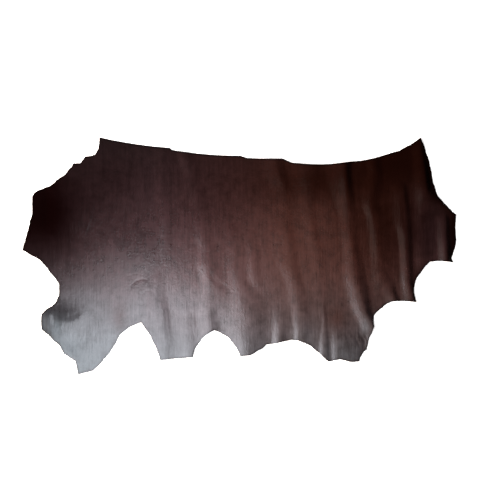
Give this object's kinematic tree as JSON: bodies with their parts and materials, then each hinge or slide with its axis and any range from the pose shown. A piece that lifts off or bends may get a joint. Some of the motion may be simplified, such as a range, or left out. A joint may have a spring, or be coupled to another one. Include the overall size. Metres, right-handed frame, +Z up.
{
  "type": "leather hide",
  "caption": "Side of dressed cattle leather, lying grain up, with scalloped belly and shank edges and low rolling waves across it.",
  "frame": {"origin": "under the middle of the sheet's bounding box, on the surface that it rests on", "axes": "+X from the rump to the neck, +Y from the belly to the backbone cut, +Z up out of the grain side"},
  "size_m": [2.25, 1.23, 0.014],
  "materials": {
    "brown_leather": "satin"
  },
  "bodies": {
    "root": {"leather_hide": "brown_leather"}
  },
  "joints": []
}
